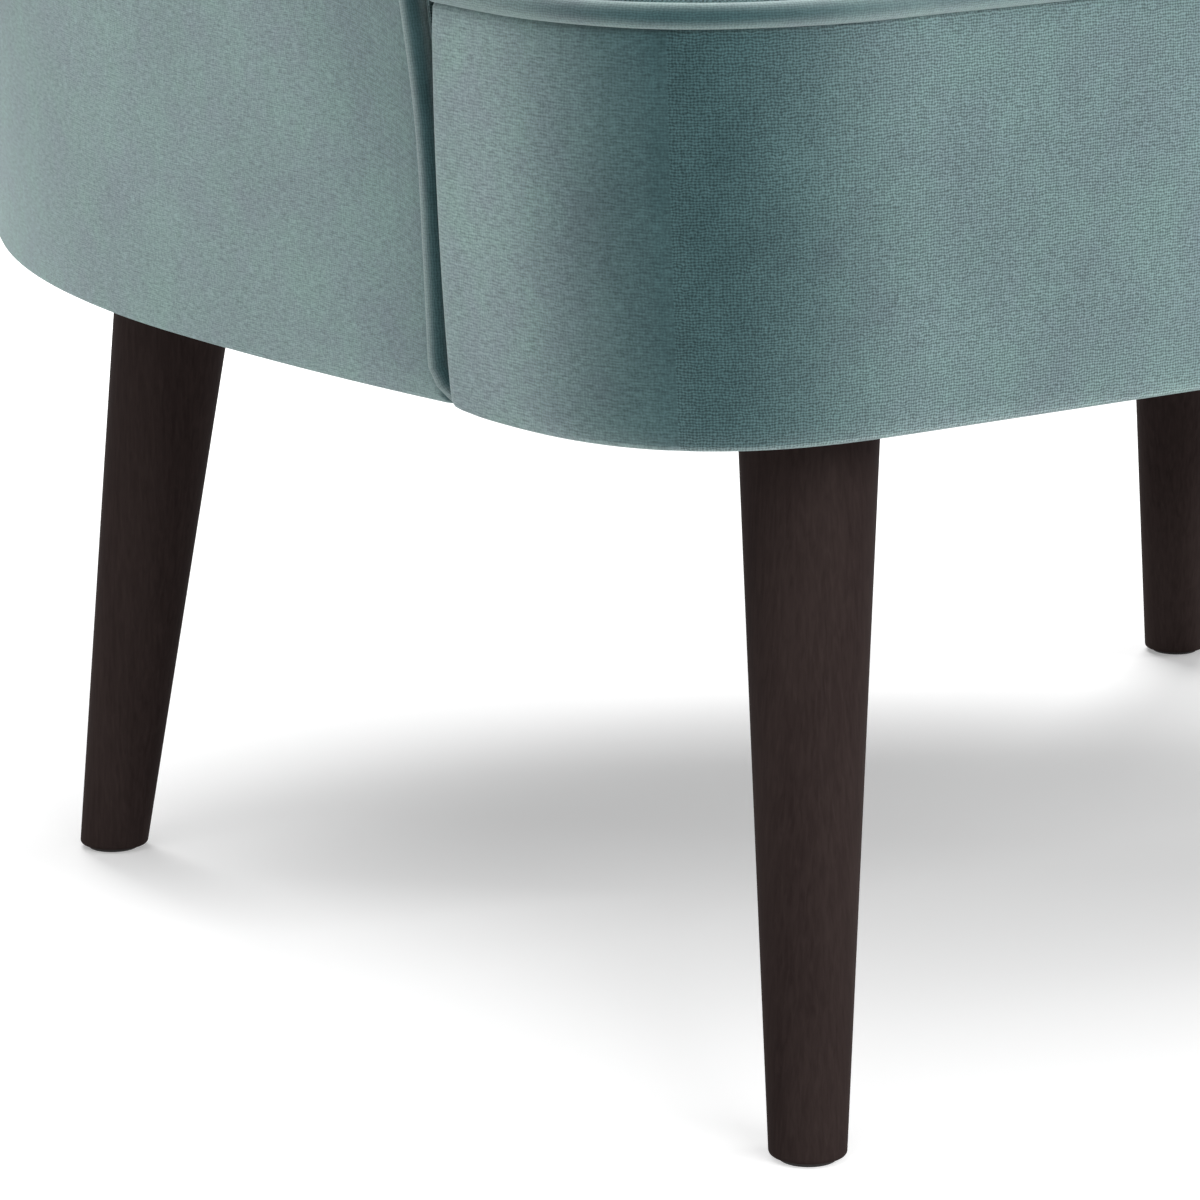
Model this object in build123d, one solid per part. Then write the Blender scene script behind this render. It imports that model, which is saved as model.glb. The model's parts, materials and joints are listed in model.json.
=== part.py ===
from build123d import *
from math import asin, cos, pi, radians, sin, sqrt, tan
import os

# Barrel-backed accent chair in millimetres. Seen from the front, X points right, Y points to the
# back and Z points up. The origin is on the floor under the middle of the overall box.

# Body plan at the underside
BODY_HALF_WIDTH = 360.0
BACK_DEPTH = 405.0
ARM_LENGTH = 156.0
ARM_TOE_IN = 11.0
NOSE_LENGTH = 125.0
NOSE_OVERHANG = 5.0
NOSE_CORNER_RADIUS = 78.0
NOSE_REAR_RADIUS = 10.0
NOSE_GAP = 1.0

# Heights
UNDERSIDE = 245.0
BOXING_HEIGHT = 134.0
SEAT_RISE = 46.0
ARM_HEIGHT = 365.0
ARM_CORNER_RADIUS = 70.0
BACK_RISE = 180.0
RISE_START = 0.85

# Lean of the shell, in degrees
SIDE_FLARE = 3.0
BACK_RECLINE = 8.0
ARM_FRONT_RAKE = 4.0

# Layers of the shell, from the outside inwards
COVER = 2.0
BOARD = 2.8
FRAME = 20.0
STRAP = 1.5
PADDING = 34.0
FIT = 0.4
PADDING_ROOM = 1.2
RIM_RADIUS = 28.0
RIM_SHOULDER = 12.0
ARM_NOSE = 45.0
ARM_EDGE = 12.0
WELT_DIAMETER = 8.4
WELT_DROP = 10.0
WELT_SINK = 1.0
WELT_EASE = 0.45

# Sections the shell is lofted through: angles round the arm's front corner, then places
CORNER_ANGLES = (14, 28, 42, 56, 72, 90)
PLACES = (0.56, 0.74, 1.0, 1.08, 1.18, 1.29, 1.40, 1.52, 1.64, 1.76, 1.88)
LAST_STEP = 0.1

# Shares of the padding's depth that the rim's inner and outer roundings may take
INNER_SHARE = 0.7
SHOULDER_SHARE = 0.25

# Frame
GLUE_LINE = 0.1
RAIL_HEIGHT = 83.0
RAIL_CLEARANCE = 2.0
POST_WIDTH = 45.0
POST_SETBACK = 12.0
BACK_POST_PLACE = 1.45
TOP_RAIL_HEIGHT = 34.0
TOP_RAIL_COVER = 24.0
NOSE_PADDING = 12.0
BLOCK_THICKNESS = 27.0
BLOCK_WIDTH = 78.0
BLOCK_LENGTH = 110.0
SPRING_RAIL_BACK = 300.0

# Seat support
SPRING_WIRE = 3.8
SPRING_WIDTH = 46.0
SPRING_PITCH = 24.0
SPRING_COUNT = 5
SPRING_SPACING = 84.0
CLIP_LENGTH = 22.0
CLIP_WIDTH = 10.0
CLIP_WALL = 1.5
SPRING_BEND = 0.49
FELT = 3.0
STRAP_WIDTH = 55.0
STRAP_PLACES = (1.22, 1.34, 1.60, 1.76)
DUST_COVER = 1.0

# Crown of the seat: the share of its rise that the sides keep, and where it is cut along its length
CROWN_AT_SIDES = 0.4
CROWN_SECTIONS = (-1, -0.94, -0.84, -0.66, -0.35, 0, 0.35, 0.66, 1)

# Legs, with their axes given where they meet the underside
FOOT_DIAMETER = 26.0
LEG_TOP_DIAMETER = 47.4
LEG_ROOM = 1.5
FOOT_ROUNDING = 1.5
FRONT_LEG_X = 256.8
FRONT_LEG_INSET = 52.5
REAR_LEG_X = 250.2
REAR_LEG_BACK = 173.7
SIDE_SPLAY = 5.2
FRONT_SPLAY = 7.4
REAR_SPLAY = 5.1
GLIDE_DIAMETER = 19.0
GLIDE_THICKNESS = 1.5
GLIDE_NAIL_DIAMETER = 3.0
GLIDE_NAIL_LENGTH = 16.0
BOLT_DIAMETER = 8.0
BOLT_IN_LEG = 32.0
BOLT_CLEARANCE = 0.3
NUT_FLANGE_DIAMETER = 22.0
NUT_FLANGE = 1.6
NUT_BARREL_DIAMETER = 10.6
NUT_BARREL_LENGTH = 13.0
SCREW_DIAMETER = 4.5
SCREW_HEAD_DIAMETER = 8.5
SCREW_HEAD = 2.4
SCREW_LENGTH = 40.0
SCREW_EDGE = 15.0

# Values worked out from those
WELT_RADIUS = WELT_DIAMETER / 2
WELT_SEAT = WELT_DIAMETER + FIT
BACK_HEIGHT = ARM_HEIGHT + BACK_RISE
BACK_REACH = (BACK_HEIGHT - WELT_DROP) * tan(radians(BACK_RECLINE)) + WELT_RADIUS - WELT_SINK
DEPTH = NOSE_LENGTH + ARM_LENGTH + BACK_DEPTH + BACK_REACH + WELT_RADIUS - WELT_SINK
SEAT_FRONT_Y = -DEPTH / 2 + WELT_RADIUS - WELT_SINK
ARM_FRONT_Y = SEAT_FRONT_Y + NOSE_LENGTH
WIDEST_Y = ARM_FRONT_Y + ARM_LENGTH
SIDE_RADIUS = (ARM_LENGTH**2 + ARM_TOE_IN**2) / (2 * ARM_TOE_IN)
NOSE_HALF_WIDTH = BODY_HALF_WIDTH - ARM_TOE_IN + NOSE_OVERHANG
NOSE_BACK_Y = ARM_FRONT_Y - NOSE_GAP

BOARD_OUT = COVER + FIT
FLANGE_OUT = BOARD_OUT + BOARD + FIT
FRAME_OUT = FLANGE_OUT + COVER + FIT
FRAME_IN = FRAME_OUT + FRAME
STRAP_OUT = FRAME_IN + FIT
PADDING_OUT = STRAP_OUT + STRAP + FIT
PADDING_IN = PADDING_OUT + PADDING
SHELL_THICKNESS = PADDING_IN + PADDING_ROOM + COVER

RAIL_TOP = RAIL_CLEARANCE + RAIL_HEIGHT
WIRE_HEIGHT = RAIL_TOP + CLIP_WALL + FIT + SPRING_WIRE / 2
FELT_BOTTOM = WIRE_HEIGHT + SPRING_WIRE / 2 + CLIP_WALL + 2 * FIT
DECK = FELT_BOTTOM + FELT + FIT
WELT_HEIGHT = BOXING_HEIGHT + WELT_RADIUS
SEAT_EDGE = WELT_HEIGHT + FIT
NOSE_INSET = COVER + FIT + NOSE_PADDING + FIT
SEAT_INSET = WELT_RADIUS + WELT_SINK + FIT


def side_of(place):
    """Which half of the shell a place is on, and how far it is from that arm's front edge.

    Places run from 0 at the left arm's front edge, through 1 at the widest line and 2 at the
    middle of the back, to 4 at the right arm's front edge.
    """
    if place <= 2:
        return -1, place
    return 1, 4 - place


def outline(place):
    """Point and outward normal of the shell's outer plan line at the underside."""
    side, along = side_of(place)
    if along <= 1:
        turn = asin((along - 1) * ARM_LENGTH / SIDE_RADIUS)
        x = BODY_HALF_WIDTH + SIDE_RADIUS * (cos(turn) - 1)
        y = WIDEST_Y + SIDE_RADIUS * sin(turn)
        normal = Vector(side * cos(turn), sin(turn), 0)
    else:
        turn = (along - 1) * pi / 2
        x = BODY_HALF_WIDTH * cos(turn)
        y = WIDEST_Y + BACK_DEPTH * sin(turn)
        normal = Vector(side * cos(turn) / BODY_HALF_WIDTH, sin(turn) / BACK_DEPTH, 0).normalized()
    return Vector(side * x, y, UNDERSIDE), normal


def flare(place):
    """Outward lean of the shell at a place, as a slope."""
    side, along = side_of(place)
    backness = sin(max(along - 1, 0) * pi / 2) ** 2
    return tan(radians(SIDE_FLARE)) * (1 - backness) + tan(radians(BACK_RECLINE)) * backness


def rake(place):
    """Backward lean of the arm's front edge, which fades out at the widest line."""
    side, along = side_of(place)
    return tan(radians(ARM_FRONT_RAKE)) * max(1 - along, 0)


def rim(place, setback=0.0, drop=0.0):
    """Height above the underside of an edge that follows the rim.

    The edge starts setback behind the arm's front edge and lies drop below the rim.
    """
    side, along = side_of(place)
    behind = along * ARM_LENGTH
    if behind < ARM_CORNER_RADIUS:
        share = (ARM_CORNER_RADIUS - behind) / (ARM_CORNER_RADIUS - setback)
        arc = sqrt(max(1 - share**2, 0))
        return ARM_HEIGHT - ARM_CORNER_RADIUS + (ARM_CORNER_RADIUS - drop) * arc
    step = max((along - RISE_START) / (2 - RISE_START), 0)
    return ARM_HEIGHT + BACK_RISE * (3 * step**2 - 2 * step**3) - drop


def inner_face(place):
    """Depth of the inside cover's face, which rounds off towards the arm's front edge."""
    side, along = side_of(place)
    share = min(along * ARM_LENGTH / ARM_NOSE, 1)
    return ARM_EDGE + (SHELL_THICKNESS - ARM_EDGE) * sqrt(1 - (1 - share) ** 2)


def station(place):
    """Upright plane across the shell, with its x axis pointing inwards."""
    side, along = side_of(place)
    point, normal = outline(place)
    backwards = Vector(-side * normal.Y, side * normal.X, 0)
    up = (Vector(0, 0, 1) + backwards * rake(place)).normalized()
    return Plane(origin=point, x_dir=-normal, z_dir=(-normal).cross(up))


def local(place, depth, height):
    """A depth from the outer face and a height above the underside, in the station's axes."""
    return depth - height * flare(place), height * sqrt(1 + rake(place) ** 2)


def at(place, depth, height):
    """The same as a point in space."""
    return station(place).from_local_coords(Vector(*local(place, depth, height), 0))


def places(setback, end=2.0):
    """Places from setback behind the left arm's front edge to a place up to the back's middle."""
    first = setback / ARM_LENGTH
    corner = []
    for angle in CORNER_ANGLES:
        behind = ARM_CORNER_RADIUS - (ARM_CORNER_RADIUS - setback) * cos(radians(angle))
        corner.append(behind / ARM_LENGTH)
    inside = [place for place in corner + list(PLACES) if first < place < end - LAST_STEP]
    return [first] + inside + [end]


def both_arms(setback):
    left = places(setback)
    return left + [4 - place for place in reversed(left[:-1])]


def between(start, end, count=4):
    return [start + (end - start) * step / (count - 1) for step in range(count)]


def layer(run, corners):
    """Solid lofted along the shell. corners gives (depth, height, rounding) at a place."""
    sections = []
    for place in run:
        points = [local(place, depth, height) for depth, height, rounding in corners(place)]
        radii = [rounding for depth, height, rounding in corners(place)]
        loop = FilletPolyline(*points, radius=radii, close=True)
        sections.append(station(place) * loop.wire())
    return Solid.make_loft(sections)


def slab(run, outer, inner, bottom, top):
    """Layer of even depth between two heights, each a number or a function of the place."""

    def corners(place):
        low = bottom(place) if callable(bottom) else bottom
        high = top(place) if callable(top) else top
        return [(outer, low, 0), (inner, low, 0), (inner, high, 0), (outer, high, 0)]

    return layer(run, corners)


def inside_block(run, outer, shrink, bottom):
    """The shell's whole inside thickness, shrunk by a cover's thickness where shrink is set."""

    def corners(place):
        inner = inner_face(place) - shrink
        high = rim(place, shrink, shrink)
        room = inner - outer
        return [
            (outer, bottom, 0),
            (inner, bottom, 0),
            (inner, high, min(RIM_RADIUS - shrink, INNER_SHARE * room)),
            (outer, high, min(RIM_SHOULDER - shrink, SHOULDER_SHARE * room)),
        ]

    return layer(run, corners)


def shell_plan(depth, height):
    """Flat face inside the shell, depth in from its outer face, at a height."""
    half = BODY_HALF_WIDTH - depth + height * tan(radians(SIDE_FLARE))
    back = BACK_DEPTH - depth + height * tan(radians(BACK_RECLINE))
    front = ARM_FRONT_Y + height * tan(radians(ARM_FRONT_RAKE))
    middle = (front + WIDEST_Y) / 2
    toe = half - ARM_TOE_IN
    rear = EllipticalCenterArc((0, WIDEST_Y), half, back, start_angle=0, arc_size=180)
    left = ThreePointArc((-half, WIDEST_Y), (ARM_TOE_IN / 4 - half, middle), (-toe, front))
    right = ThreePointArc((toe, front), (half - ARM_TOE_IN / 4, middle), (half, WIDEST_Y))
    across = Line((-toe, front), (toe, front))
    return make_face([rear.edge(), left.edge(), across.edge(), right.edge()])


def nose_outline(inset):
    """Corners of the seat nose's plan, from the left rear round the front to the right rear."""
    half = NOSE_HALF_WIDTH - inset
    front = SEAT_FRONT_Y + inset
    rear = NOSE_BACK_Y - inset
    return [(-half, rear), (-half, front), (half, front), (half, rear)]


def nose_plan(inset):
    rear_rounding = max(NOSE_REAR_RADIUS - inset, 0)
    front_rounding = NOSE_CORNER_RADIUS - inset
    radii = [rear_rounding, front_rounding, front_rounding, rear_rounding]
    return make_face(FilletPolyline(*nose_outline(inset), radius=radii, close=True))


def prism(face, bottom, top):
    """Upright solid on a plan face between two heights above the underside."""
    return extrude(Pos(0, 0, UNDERSIDE + bottom) * face, top - bottom, dir=(0, 0, 1))


def block(x0, x1, y0, y1, bottom, top):
    """Box between two corners, with heights above the underside."""
    middle = Pos((x0 + x1) / 2, (y0 + y1) / 2, UNDERSIDE + (bottom + top) / 2)
    return middle * Box(x1 - x0, y1 - y0, top - bottom)


def largest(shape):
    return shape.solids().sort_by(SortBy.VOLUME)[-1]


def upright(x, y, bottom, top, diameter):
    return Pos(x, y, UNDERSIDE + (bottom + top) / 2) * Cylinder(diameter / 2, top - bottom)


# Seat frame
rail_front = SEAT_FRONT_Y + NOSE_INSET
rail_back = rail_front + FRAME
nose_inner = NOSE_HALF_WIDTH - NOSE_CORNER_RADIUS
spring_rail_y = WIDEST_Y + SPRING_RAIL_BACK
side_rail_out = BODY_HALF_WIDTH - ARM_TOE_IN - PADDING_OUT
base_rail_room = slab(both_arms(POST_SETBACK), -FRAME, PADDING_OUT, -FRAME, RAIL_TOP + FRAME)
leg_places = {
    "front_left": (-FRONT_LEG_X, SEAT_FRONT_Y + FRONT_LEG_INSET),
    "front_right": (FRONT_LEG_X, SEAT_FRONT_Y + FRONT_LEG_INSET),
    "rear_left": (-REAR_LEG_X, WIDEST_Y + REAR_LEG_BACK),
    "rear_right": (REAR_LEG_X, WIDEST_Y + REAR_LEG_BACK),
}
parts = {}

parts["front_rail"] = block(-nose_inner, nose_inner, rail_front, rail_back, RAIL_CLEARANCE, RAIL_TOP)
spring_rail = block(-BODY_HALF_WIDTH, BODY_HALF_WIDTH, spring_rail_y, spring_rail_y + FRAME,
                    RAIL_CLEARANCE, RAIL_TOP)
parts["rear_spring_rail"] = largest(spring_rail - base_rail_room)


def nose_block(side):
    """Solid block in a rounded corner of the seat nose."""
    whole = prism(nose_plan(NOSE_INSET), RAIL_CLEARANCE, RAIL_TOP)
    outer = NOSE_HALF_WIDTH
    inner = nose_inner + GLUE_LINE
    reach = block(min(side * inner, side * outer), max(side * inner, side * outer),
                  SEAT_FRONT_Y, NOSE_BACK_Y, 0, RAIL_TOP)
    return whole & reach


def side_rail(side):
    """Straight rail from the nose block back to the rear leg block."""
    outer = side * side_rail_out
    inner = side * (side_rail_out - FRAME)
    front = NOSE_BACK_Y - NOSE_INSET + GLUE_LINE
    rear = WIDEST_Y + REAR_LEG_BACK - BLOCK_LENGTH / 2 - GLUE_LINE
    return block(min(inner, outer), max(inner, outer), front, rear, RAIL_CLEARANCE, RAIL_TOP)


for side, name in ((-1, "left"), (1, "right")):
    parts[name + "_nose_block"] = nose_block(side)
    parts[name + "_side_rail"] = side_rail(side) - base_rail_room


# Barrel frame
parts["barrel_base_rail"] = slab(
    both_arms(POST_SETBACK), FRAME_OUT, FRAME_IN, RAIL_CLEARANCE, RAIL_TOP
)
post_bottom = RAIL_TOP + GLUE_LINE
post_end = (POST_SETBACK + POST_WIDTH) / ARM_LENGTH
rail_start = post_end + GLUE_LINE / ARM_LENGTH


def top_rail_top(place):
    return rim(place, POST_SETBACK, TOP_RAIL_COVER)


def top_rail_bottom(place):
    return top_rail_top(place) - TOP_RAIL_HEIGHT


def under_top_rail(place):
    return top_rail_bottom(place) - GLUE_LINE


def ahead_of(place):
    """Block of space in front of a place on the left arm, from the underside up."""
    ahead = Pos(0, ARM_HEIGHT / 2, ARM_HEIGHT) * Box(ARM_HEIGHT, 2 * ARM_HEIGHT, 2 * ARM_HEIGHT)
    return station(place) * ahead


frame_wall = slab(both_arms(POST_SETBACK), FRAME_OUT, FRAME_IN, post_bottom, top_rail_top)
left_arm_post = frame_wall & ahead_of(post_end)
rail_room = ahead_of(rail_start)
top_rail = slab(both_arms(POST_SETBACK), FRAME_OUT, FRAME_IN, top_rail_bottom, top_rail_top)
parts["top_rail"] = largest(top_rail - rail_room - mirror(rail_room, Plane.YZ))
back_girth = pi * sqrt((BODY_HALF_WIDTH**2 + BACK_DEPTH**2) / 2) / 2
half_post = POST_WIDTH / back_girth / 2
back_post_run = between(BACK_POST_PLACE - half_post, BACK_POST_PLACE + half_post)
left_back_post = slab(back_post_run, FRAME_OUT, FRAME_IN, post_bottom, under_top_rail)
parts["left_arm_post"] = left_arm_post
parts["right_arm_post"] = mirror(left_arm_post, Plane.YZ)
parts["left_back_post"] = left_back_post
parts["right_back_post"] = mirror(left_back_post, Plane.YZ)
parts["centre_back_post"] = slab(
    between(2 - half_post, 2 + half_post, 5), FRAME_OUT, FRAME_IN, post_bottom, under_top_rail
)


# Legs and what holds them
def bolt_hole(x, y, diameter, bottom, top):
    return upright(x, y, bottom, top, diameter + BOLT_CLEARANCE)


def leg_block(x, y):
    """Block that takes a leg's tee nut, between the rails around it."""
    top = RAIL_CLEARANCE + BLOCK_THICKNESS
    outward = 1 if x > 0 else -1
    if y < WIDEST_Y:
        inner, outer = outward * (nose_inner - BLOCK_WIDTH), outward * nose_inner
        front, rear = rail_back + GLUE_LINE, rail_back + GLUE_LINE + BLOCK_WIDTH
    else:
        inner, outer = outward * (abs(x) - BLOCK_WIDTH / 2), outward * BODY_HALF_WIDTH
        front, rear = y - BLOCK_LENGTH / 2, y + BLOCK_LENGTH / 2
    body = block(min(inner, outer), max(inner, outer), front, rear, RAIL_CLEARANCE, top)
    body -= bolt_hole(x, y, BOLT_DIAMETER, 0, top)
    body -= bolt_hole(x, y, NUT_BARREL_DIAMETER, top - NUT_BARREL_LENGTH - BOLT_CLEARANCE, top)
    if y > WIDEST_Y:
        body -= base_rail_room
    return largest(body)


def leg_lean(y):
    """How far a leg's axis runs out sideways and along Y for each millimetre down."""
    along = -tan(radians(FRONT_SPLAY)) if y < WIDEST_Y else tan(radians(REAR_SPLAY))
    return tan(radians(SIDE_SPLAY)), along


def foot_place(x, y):
    out, along = leg_lean(y)
    outward = 1 if x > 0 else -1
    return x + outward * out * UNDERSIDE, y + along * UNDERSIDE


def leg(x, y):
    """Tapered round leg with level ends, a bolt hole in its top and a nail hole in its foot."""
    foot_x, foot_y = foot_place(x, y)
    axis = Vector(x - foot_x, y - foot_y, UNDERSIDE)
    slant = axis.length
    taper = (LEG_TOP_DIAMETER - FOOT_DIAMETER) / 2 / slant
    spare = LEG_TOP_DIAMETER / 4
    plane = Plane(origin=Vector(foot_x, foot_y, 0) - axis.normalized() * spare, z_dir=axis)
    low = FOOT_DIAMETER / 2 - taper * spare
    high = LEG_TOP_DIAMETER / 2 + taper * spare
    body = Solid.make_cone(low, high, slant + 2 * spare, plane)
    room = 2 * LEG_TOP_DIAMETER
    body = body & block(x - room, x + room, y - room, y + room,
                        GLIDE_THICKNESS - UNDERSIDE, RAIL_CLEARANCE - GLUE_LINE)
    body = fillet(body.faces().sort_by(Axis.Z)[0].edges(), FOOT_ROUNDING)
    body -= bolt_hole(x, y, BOLT_DIAMETER, -BOLT_IN_LEG - BOLT_CLEARANCE, RAIL_CLEARANCE)
    nail_top = GLIDE_THICKNESS + GLIDE_NAIL_LENGTH + BOLT_CLEARANCE - UNDERSIDE
    return body - bolt_hole(foot_x, foot_y, GLIDE_NAIL_DIAMETER, -UNDERSIDE, nail_top)


def glide(x, y):
    """Round glide with its nail, driven into the foot."""
    foot_x, foot_y = foot_place(x, y)
    pad = upright(foot_x, foot_y, -UNDERSIDE, GLIDE_THICKNESS - GLUE_LINE - UNDERSIDE, GLIDE_DIAMETER)
    nail_top = GLIDE_THICKNESS + GLIDE_NAIL_LENGTH - UNDERSIDE
    return pad + upright(foot_x, foot_y, -UNDERSIDE, nail_top, GLIDE_NAIL_DIAMETER)


def tee_nut(x, y):
    top = RAIL_CLEARANCE + BLOCK_THICKNESS + GLUE_LINE
    body = upright(x, y, top, top + NUT_FLANGE, NUT_FLANGE_DIAMETER)
    body += upright(x, y, top - NUT_BARREL_LENGTH, top, NUT_BARREL_DIAMETER)
    return body - bolt_hole(x, y, BOLT_DIAMETER, 0, top + NUT_FLANGE)


def screw_seats(x, y):
    """Where the two screws of a leg block start on its rail, and the way they go."""
    height = RAIL_CLEARANCE + BLOCK_THICKNESS / 2
    side = 1 if x > 0 else -1
    if y < WIDEST_Y:
        steps = [nose_inner - BLOCK_WIDTH / 2, nose_inner - BLOCK_WIDTH + SCREW_EDGE]
        starts = [Vector(side * step, rail_front, UNDERSIDE + height) for step in steps]
        return [(start, Vector(0, 1, 0)) for start in starts]
    middle = 1 + asin(REAR_LEG_BACK / BACK_DEPTH) / (pi / 2)
    reach = (BLOCK_LENGTH / 2 - SCREW_EDGE) / back_girth
    seats = []
    for along in (middle - reach, middle + reach):
        place = along if side < 0 else 4 - along
        seats.append((at(place, FRAME_OUT, height), -outline(place)[1]))
    return seats


def screw(start, direction, room=0.0):
    """Frame screw with its head sunk into the rail, or its hole where room is set."""
    plane = Plane(origin=start, z_dir=direction)
    head = Solid.make_cylinder(SCREW_HEAD_DIAMETER / 2 + room, SCREW_HEAD + room, plane)
    return head + Solid.make_cylinder(SCREW_DIAMETER / 2 + room, SCREW_LENGTH + room, plane)


bolt_top = RAIL_CLEARANCE + BLOCK_THICKNESS + NUT_FLANGE
parts["frame_screws"] = []
for name, (x, y) in leg_places.items():
    parts[name + "_leg_block"] = leg_block(x, y)
    rail = "front_rail" if y < WIDEST_Y else "barrel_base_rail"
    for start, direction in screw_seats(x, y):
        parts["frame_screws"].append(screw(start, direction))
        parts[rail] -= screw(start, direction, BOLT_CLEARANCE)
        parts[name + "_leg_block"] -= screw(start, direction, BOLT_CLEARANCE)
    parts[name + "_leg"] = leg(x, y)
    parts[name + "_glide"] = glide(x, y)
parts["hanger_bolts"] = [
    upright(x, y, -BOLT_IN_LEG, bolt_top, BOLT_DIAMETER) for x, y in leg_places.values()
]
parts["tee_nuts"] = [tee_nut(x, y) for x, y in leg_places.values()]


# Seat springs, each one wire bent to and fro, and the clips that hold its end bars
clip_y = (rail_front + FRAME / 2, spring_rail_y + FRAME / 2)
spring_rows = [SPRING_SPACING * (row - (SPRING_COUNT - 1) / 2) for row in range(SPRING_COUNT)]


def spring(x):
    bends = 2 * round((clip_y[1] - clip_y[0]) / SPRING_PITCH / 2)
    pitch = (clip_y[1] - clip_y[0]) / bends
    half = SPRING_WIDTH / 2
    points = []
    for bend in range(bends + 1):
        side = 1 if bend % 2 else -1
        y = clip_y[0] + bend * pitch
        points += [(x + side * half, y), (x - side * half, y)]
    turns = FilletPolyline(*points, radius=pitch * SPRING_BEND)
    path = Pos(0, 0, UNDERSIDE + WIRE_HEIGHT) * turns.wire()
    return sweep(Plane(path @ 0, z_dir=path % 0) * Circle(SPRING_WIRE / 2), path=path)


def clip(x, y):
    half = CLIP_LENGTH / 2
    depth = CLIP_WIDTH / 2
    high = WIRE_HEIGHT + SPRING_WIRE / 2 + CLIP_WALL + FIT
    body = block(x - half, x + half, y - depth, y + depth, RAIL_TOP + GLUE_LINE, high)
    bore = Cylinder(SPRING_WIRE / 2 + FIT, 2 * CLIP_LENGTH, rotation=(0, 90, 0))
    return body - Pos(x, y, UNDERSIDE + WIRE_HEIGHT) * bore


for row, x in enumerate(spring_rows, start=1):
    parts[f"seat_spring_{row}"] = spring(x)
parts["spring_clips"] = [clip(x, y) for x in spring_rows for y in clip_y]


# Seat: felt, crowned foam, border, top cover and welt
def crown(lift):
    """Block with a crowned top, its edge at the seat's welt, raised by lift."""
    half_length = (spring_rail_y + FRAME - SEAT_FRONT_Y) / 2 + PADDING
    middle = SEAT_FRONT_Y + half_length
    half = NOSE_HALF_WIDTH
    sections = []
    for share in CROWN_SECTIONS:
        swell = SEAT_RISE * (1 - share**4)
        y = middle + share * half_length
        low = UNDERSIDE + DECK
        edge = UNDERSIDE + SEAT_EDGE + CROWN_AT_SIDES * swell + lift
        top = edge + (1 - CROWN_AT_SIDES) * swell + COVER
        loop = [
            Line((-half, y, low), (half, y, low)),
            Line((half, y, low), (half, y, edge)),
            ThreePointArc((half, y, edge), (0, y, top), (-half, y, edge)),
            Line((-half, y, edge), (-half, y, low)),
        ]
        sections.append(Wire([piece.edge() for piece in loop]))
    return Solid.make_loft(sections)


seat_depth = SHELL_THICKNESS + PADDING_ROOM
seat_half = BODY_HALF_WIDTH - ARM_TOE_IN - ARM_EDGE - COVER
seat_neck = Pos(0, ARM_FRONT_Y) * Rectangle(2 * seat_half, 2 * ARM_NOSE)
seat_plan = shell_plan(PADDING_OUT, DECK) + nose_plan(SEAT_INSET) + seat_neck
seat_room = prism(seat_plan, DECK, ARM_HEIGHT)
seat_room = largest(seat_room - inside_block(both_arms(0), FRAME_OUT, -PADDING_ROOM, 0))
felt_half = BODY_HALF_WIDTH - ARM_TOE_IN - seat_depth
felt_neck = Pos(0, ARM_FRONT_Y) * Rectangle(2 * felt_half, 2 * ARM_NOSE)
felt_plan = shell_plan(seat_depth, DECK) + nose_plan(NOSE_INSET) + felt_neck
parts["seat_felt"] = prism(felt_plan, FELT_BOTTOM, FELT_BOTTOM + FELT)
parts["seat_foam"] = crown(0) & seat_room
parts["seat_top_cover"] = (crown(FIT + COVER) - crown(FIT)) & seat_room
back_opening = block(-seat_half - FIT, seat_half + FIT,
                     NOSE_BACK_Y - 2 * NOSE_INSET, NOSE_BACK_Y + NOSE_INSET, -COVER, ARM_HEIGHT)


def nose_ring(outer, inner, bottom, top):
    ring = prism(nose_plan(outer), bottom, top) - prism(nose_plan(inner), bottom, top)
    return ring - back_opening


parts["seat_border_cover"] = nose_ring(0, COVER, 0, BOXING_HEIGHT - FIT)
parts["nose_padding"] = nose_ring(COVER + FIT, NOSE_INSET - FIT, RAIL_CLEARANCE, RAIL_TOP)


def swept_cord(path, diameter):
    return sweep(Plane(path @ 0, z_dir=path % 0) * Circle(diameter / 2), path=path)


seat_welt_points = [(x, y, UNDERSIDE + WELT_HEIGHT) for x, y in nose_outline(WELT_SINK)]
seat_welt_path = FilletPolyline(*seat_welt_points, radius=NOSE_CORNER_RADIUS - WELT_SINK)
parts["seat_welt"] = swept_cord(seat_welt_path.wire(), WELT_DIAMETER)


# Back support and padding of the shell
half_strap = STRAP_WIDTH / back_girth / 2


def strap(place):
    run = between(place - half_strap, place + half_strap)
    return slab(run, STRAP_OUT, STRAP_OUT + STRAP, RAIL_TOP / 2, middle_of_top_rail)


def middle_of_top_rail(place):
    return top_rail_bottom(place) + TOP_RAIL_HEIGHT / 2


strap_places = list(STRAP_PLACES) + [4 - place for place in reversed(STRAP_PLACES)]
for count, place in enumerate(strap_places, start=1):
    parts[f"back_strap_{count}"] = strap(place)

whole_padding = inside_block(both_arms(POST_SETBACK), PADDING_OUT, COVER + PADDING_ROOM, DECK)
far = 2 * BACK_HEIGHT
arm_end = WIDEST_Y - GLUE_LINE
left_arm_room = block(-far, 0, -far, arm_end, 0, far)
right_arm_room = block(0, far, -far, arm_end, 0, far)
back_room = block(-far, far, WIDEST_Y, far, 0, far)
parts["left_arm_padding"] = whole_padding & left_arm_room
parts["right_arm_padding"] = whole_padding & right_arm_room
parts["back_padding"] = whole_padding & back_room


def rim_padding_corners(place):
    low = top_rail_top(place) + FIT
    high = rim(place, COVER, COVER) - PADDING_ROOM
    inner = PADDING_OUT - FIT
    rounding = RIM_SHOULDER - COVER
    return [(FRAME_OUT, low, 0), (inner, low, 0), (inner, high, 0), (FRAME_OUT, high, rounding)]


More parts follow.
